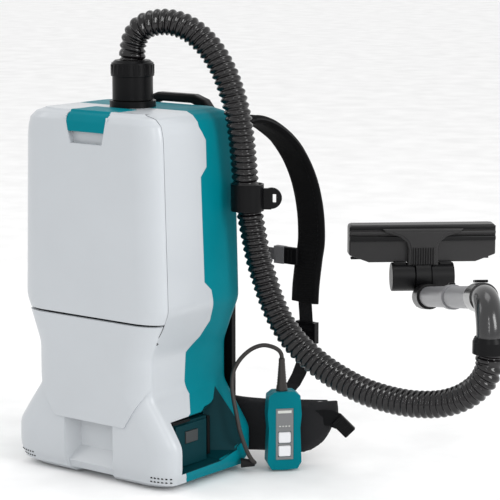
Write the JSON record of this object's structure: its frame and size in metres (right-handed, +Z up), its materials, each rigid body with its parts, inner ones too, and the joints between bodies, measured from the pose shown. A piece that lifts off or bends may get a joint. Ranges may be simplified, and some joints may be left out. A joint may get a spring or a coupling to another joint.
{
  "type": "backpack vacuum cleaner",
  "caption": "Cordless backpack vacuum cleaner with padded harness, corrugated hose, curved grip, wand and floor nozzle.",
  "frame": {"origin": "centre of the flat underside that the cleaner stands on", "axes": "+Z up, front of the cleaner towards -Y, wearer's back towards +Y"},
  "size_m": [0.8347, 0.7445, 0.6644],
  "materials": {
    "white_plastic": "satin moulded",
    "teal_plastic": "satin moulded",
    "dark_teal": "moulded",
    "black_plastic": "moulded",
    "black_rubber": "matt",
    "hose_plastic": "glossy",
    "grey_plastic": "satin",
    "padding": "mesh over foam",
    "webbing": "woven",
    "grey_webbing": "woven",
    "steel": "plain",
    "wand_metal": "satin",
    "filter_paper": "pleated",
    "bag_cloth": "felt",
    "board_green": "plain",
    "panel_grey": "matt",
    "button_white": "satin",
    "button_red": "satin",
    "foam": "open cell foam"
  },
  "bodies": {
    "casing": {"rear_shell": "teal_plastic", "front_shell": "white_plastic", "front_bib": "white_plastic", "base_tray": "black_plastic", "rubber_feet": "black_rubber", "lid_seal": "black_rubber", "hinge_pins": "steel", "casing_screws": "steel", "inlet_collar": "black_plastic", "hose": "hose_plastic", "hose_clip": "black_plastic", "bag_holder": "black_plastic", "dust_bag": "bag_cloth", "hepa_filter": "filter_paper", "filter_frame": "teal_plastic", "motor_housing": "black_plastic", "motor": "steel", "motor_mount": "black_plastic", "control_board": "board_green", "exhaust_filter": "foam", "battery_dock_right": "dark_teal", "battery_dock_left": "dark_teal", "carry_handle": "black_plastic", "back_plate": "black_plastic", "back_pads": "padding", "shoulder_strap_right": "padding", "shoulder_strap_left": "padding", "strap_webbing": "webbing", "ladder_locks": "black_plastic", "chest_strap": "grey_webbing", "belt_right": "padding", "belt_left": "padding", "belt_webbing": "webbing", "belt_buckle": "black_plastic", "remote_front": "teal_plastic", "remote_back": "teal_plastic", "remote_panel": "panel_grey", "remote_relief": "black_rubber", "remote_cable": "black_rubber", "cable_gland": "black_rubber", "grip": "hose_plastic", "wand": "wand_metal"},
    "lid": {"lid": "white_plastic", "latch_pin": "steel"},
    "latch": {"lid_latch": "teal_plastic"},
    "inlet_swivel": {"inlet_cuff": "black_plastic"},
    "fan": {"impeller": "grey_plastic"},
    "battery_pack_right": {"battery_right": "black_plastic"},
    "battery_pack_left": {"battery_left": "black_plastic"},
    "battery_release_right": {"battery_button_right": "button_red"},
    "battery_release_left": {"battery_button_left": "button_red"},
    "key_upper": {"remote_button_upper": "button_white"},
    "key_lower": {"remote_button_lower": "button_white"},
    "grip_swivel": {"grip_cuff": "black_plastic"},
    "slider": {"suction_slider": "black_plastic"},
    "wand_release": {"wand_button": "black_plastic"},
    "neck": {"nozzle_neck": "black_plastic"},
    "nozzle": {"nozzle_barrel": "grey_plastic", "nozzle_head": "grey_plastic", "nozzle_sole": "black_rubber"}
  },
  "joints": [
    {"name": "lid_hinge", "type": "hinge", "parent": "casing", "child": "lid", "pos_m": [0, -0.108, 0.238], "axis": [1, 0, 0], "range_deg": [0, 85]},
    {"name": "latch_hinge", "type": "hinge", "parent": "lid", "child": "latch", "pos_m": [0, -0.104, 0.518], "axis": [1, 0, 0], "range_deg": [-20, 0], "stiffness_Nm_per_rad": 0.05},
    {"name": "inlet_cuff_swivel", "type": "hinge", "parent": "casing", "child": "inlet_swivel", "pos_m": [0, -0.012, 0.55], "axis": [0, 0, 1], "continuous": true},
    {"name": "fan_spin", "type": "hinge", "parent": "casing", "child": "fan", "pos_m": [0, -0.01, 0.178], "axis": [0, 0, 1], "continuous": true},
    {"name": "battery_slide_right", "type": "slide", "parent": "casing", "child": "battery_pack_right", "axis": [1, 0, 0], "range_m": [0, 0.12]},
    {"name": "battery_slide_left", "type": "slide", "parent": "casing", "child": "battery_pack_left", "axis": [-1, 0, 0], "range_m": [0, 0.12]},
    {"name": "battery_release_press_right", "type": "slide", "parent": "battery_pack_right", "child": "battery_release_right", "axis": [-1, 0, 0], "range_m": [0, 0.003], "stiffness_N_per_m": 600},
    {"name": "battery_release_press_left", "type": "slide", "parent": "battery_pack_left", "child": "battery_release_left", "axis": [1, 0, 0], "range_m": [0, 0.003], "stiffness_N_per_m": 600},
    {"name": "upper_key_press", "type": "slide", "parent": "casing", "child": "key_upper", "axis": [-0.7431, 0.6691, 0], "range_m": [0, 0.0012], "stiffness_N_per_m": 800},
    {"name": "lower_key_press", "type": "slide", "parent": "casing", "child": "key_lower", "axis": [-0.7431, 0.6691, 0], "range_m": [0, 0.0012], "stiffness_N_per_m": 800},
    {"name": "grip_cuff_swivel", "type": "hinge", "parent": "casing", "child": "grip_swivel", "pos_m": [0.5457, 0.0757, 0.235], "axis": [0, 0, 1], "continuous": true},
    {"name": "suction_slide", "type": "slide", "parent": "casing", "child": "slider", "axis": [-0.6562, 0.7314, -0.1857], "range_m": [0, 0.012]},
    {"name": "wand_release_press", "type": "slide", "parent": "casing", "child": "wand_release", "axis": [0.124, -0.1382, -0.9826], "range_m": [0, 0.003], "stiffness_N_per_m": 600},
    {"name": "neck_swivel", "type": "hinge", "parent": "casing", "child": "neck", "pos_m": [0.18275, 0.48022, 0.1964], "axis": [-0.6562, 0.7314, -0.1857], "range_deg": [-60, 60]},
    {"name": "nozzle_tilt", "type": "hinge", "parent": "neck", "child": "nozzle", "pos_m": [0.13899, 0.52899, 0.217], "axis": [-0.7443, -0.6678, 0], "range_deg": [-45, 45]}
  ]
}
